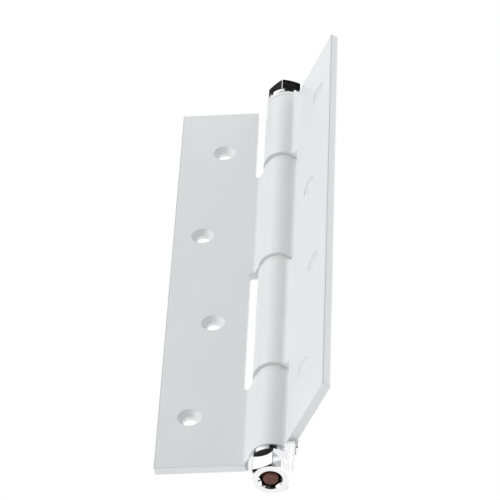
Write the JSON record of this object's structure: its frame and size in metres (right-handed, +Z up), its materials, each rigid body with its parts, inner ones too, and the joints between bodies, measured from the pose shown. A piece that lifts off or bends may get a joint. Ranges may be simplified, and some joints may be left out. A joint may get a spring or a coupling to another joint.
{
  "type": "spring hinge",
  "caption": "Spring butt hinge with two countersunk leaves, interleaved knuckles, a through spindle and hexagonal tension fittings at the ends.",
  "frame": {"origin": "on the back face of the frame leaf, at the centre of its screw pattern and half its height", "axes": "+Y out of the frame leaf's back face, +X from that leaf towards the pin, +Z up along the pin"},
  "size_m": [0.056, 0.0383, 0.1976],
  "materials": {
    "leaf_paint": "extruded aluminium with a smooth pale silver-grey coating, semi-gloss",
    "collar_paint": "steel with the leaves' pale silver-grey coating",
    "bush_nylon": "plain grey plastic",
    "chrome_plate": "bright plated steel",
    "spindle_steel": "dull brown oiled steel",
    "spring_wire": "dark drawn spring wire"
  },
  "bodies": {
    "frame": {"frame_leaf": "leaf_paint", "upper_bush": "bush_nylon", "middle_bush": "bush_nylon", "lower_bush": "bush_nylon"},
    "door": {"door_leaf": "leaf_paint", "spindle": "spindle_steel", "torsion_spring": "spring_wire", "top_sleeve": "collar_paint", "top_ring": "chrome_plate", "top_lock_nut": "chrome_plate"},
    "adjuster": {"adjuster_sleeve": "chrome_plate", "eared_ring": "chrome_plate", "bottom_lock_nut": "chrome_plate"}
  },
  "joints": [
    {"name": "door_swing", "type": "hinge", "parent": "frame", "child": "door", "pos_m": [0.02345, -0.0035, 0], "axis": [0, 0, 1], "range_deg": [-118.5, 61.4], "stiffness_Nm_per_rad": 0.35},
    {"name": "tension_adjust", "type": "hinge", "parent": "frame", "child": "adjuster", "pos_m": [0.02345, -0.0035, -0.094], "axis": [0, 0, 1], "range_deg": [-300, 0]}
  ]
}
